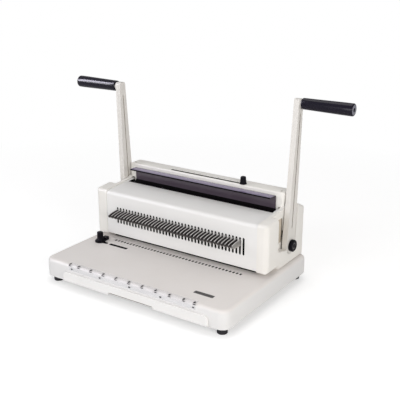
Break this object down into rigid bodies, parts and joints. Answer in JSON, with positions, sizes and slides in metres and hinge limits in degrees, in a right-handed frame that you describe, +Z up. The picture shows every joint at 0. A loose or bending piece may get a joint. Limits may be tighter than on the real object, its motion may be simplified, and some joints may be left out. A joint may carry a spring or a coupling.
{
  "type": "wire binding machine",
  "caption": "Bench punch and wire closer with two side levers, a comb of fins on a slotted panel, a closing bar, an edge guide and a chip drawer.",
  "frame": {"origin": "middle of the base casing, on the surface that the machine stands on", "axes": "+X to the user's right along the comb, -Y towards the user, +Z up"},
  "size_m": [0.652, 0.339, 0.4026],
  "materials": {
    "ivory_plastic": "fine moulded grain",
    "ivory_paint": "satin powder coat",
    "black_plastic": "satin moulded",
    "black_paint": "semi-gloss paint",
    "black_rubber": "matt",
    "clear_plastic": "clear film",
    "zinc_steel": "zinc plated",
    "polished_steel": "ground and polished",
    "bronze": "sintered"
  },
  "bodies": {
    "machine": {"base_casing": "ivory_plastic", "base_plate": "zinc_steel", "foot_front_left": "black_rubber", "foot_front_right": "black_rubber", "foot_rear_left": "black_rubber", "foot_rear_right": "black_rubber", "gauge_strip": "clear_plastic", "drawer_runner_left": "zinc_steel", "drawer_runner_right": "zinc_steel", "frame_plate_left": "zinc_steel", "frame_plate_right": "zinc_steel", "punch_bush_left": "bronze", "punch_bush_right": "bronze", "closer_bush_left": "bronze", "closer_bush_right": "bronze", "tie_bar_low": "zinc_steel", "tie_bar_high": "zinc_steel", "die_plate": "zinc_steel", "punch_guide": "zinc_steel", "paper_stop": "zinc_steel", "front_panel": "ivory_paint", "wire_comb": "polished_steel", "side_cover_right": "ivory_plastic", "side_cover_left": "ivory_plastic", "rear_cover": "ivory_plastic", "closer_bed": "black_paint"},
    "punch_drive": {"punch_lever": "ivory_paint", "punch_grip": "black_plastic", "punch_grip_bolt": "zinc_steel", "punch_pivot_cap": "black_plastic", "punch_shaft": "zinc_steel", "punch_crank_left": "zinc_steel", "punch_crank_right": "zinc_steel"},
    "closer_drive": {"closer_lever": "ivory_paint", "closer_grip": "black_plastic", "closer_grip_bolt": "zinc_steel", "closer_pivot_cap": "black_plastic", "closer_shaft": "zinc_steel", "closer_crank_left": "zinc_steel", "closer_crank_right": "zinc_steel"},
    "punch_slide": {"punch_pins": "polished_steel", "punch_beam": "zinc_steel", "punch_yoke_left": "zinc_steel", "punch_yoke_right": "zinc_steel"},
    "closer_slide": {"closer_bar": "black_paint", "closer_carrier_left": "zinc_steel", "closer_carrier_right": "zinc_steel"},
    "selector": {"selector_knob": "black_plastic", "selector_plate": "zinc_steel"},
    "guide_carriage": {"edge_guide": "black_plastic", "edge_guide_nut": "zinc_steel"},
    "guide_clamp": {"edge_guide_knob": "black_plastic"},
    "drawer": {"chip_drawer": "ivory_plastic"}
  },
  "joints": [
    {"name": "punch_lever_swing", "type": "hinge", "parent": "machine", "child": "punch_drive", "pos_m": [0, 0.102, 0.095], "axis": [1, 0, 0], "range_deg": [0, 34], "stiffness_Nm_per_rad": 2, "springref_deg": -34.38},
    {"name": "closer_lever_swing", "type": "hinge", "parent": "machine", "child": "closer_drive", "pos_m": [0, 0.0998, 0.12], "axis": [1, 0, 0], "range_deg": [0, 28], "stiffness_Nm_per_rad": 3, "springref_deg": -51.57},
    {"name": "punch_slide_travel", "type": "slide", "parent": "machine", "child": "punch_slide", "axis": [0, 0, -1], "range_m": [0, 0.0082]},
    {"name": "closer_slide_travel", "type": "slide", "parent": "machine", "child": "closer_slide", "axis": [0, 0, -1], "range_m": [0, 0.0242]},
    {"name": "selector_travel", "type": "slide", "parent": "machine", "child": "selector", "axis": [-1, 0, 0], "range_m": [0, 0.187]},
    {"name": "guide_travel", "type": "slide", "parent": "machine", "child": "guide_carriage", "axis": [1, 0, 0], "range_m": [-0.007, 0.018]},
    {"name": "guide_clamp_turn", "type": "hinge", "parent": "guide_carriage", "child": "guide_clamp", "pos_m": [-0.19, -0.032, 0.061], "axis": [0, 0, 1], "range_deg": [0, 180]},
    {"name": "drawer_travel", "type": "slide", "parent": "machine", "child": "drawer", "axis": [0, -1, 0], "range_m": [0, 0.18]}
  ],
  "couplings": [
    {"joint": "punch_slide_travel", "follows": "punch_lever_swing", "m_per_rad": 0.013795},
    {"joint": "closer_slide_travel", "follows": "closer_lever_swing", "m_per_rad": 0.049504}
  ]
}
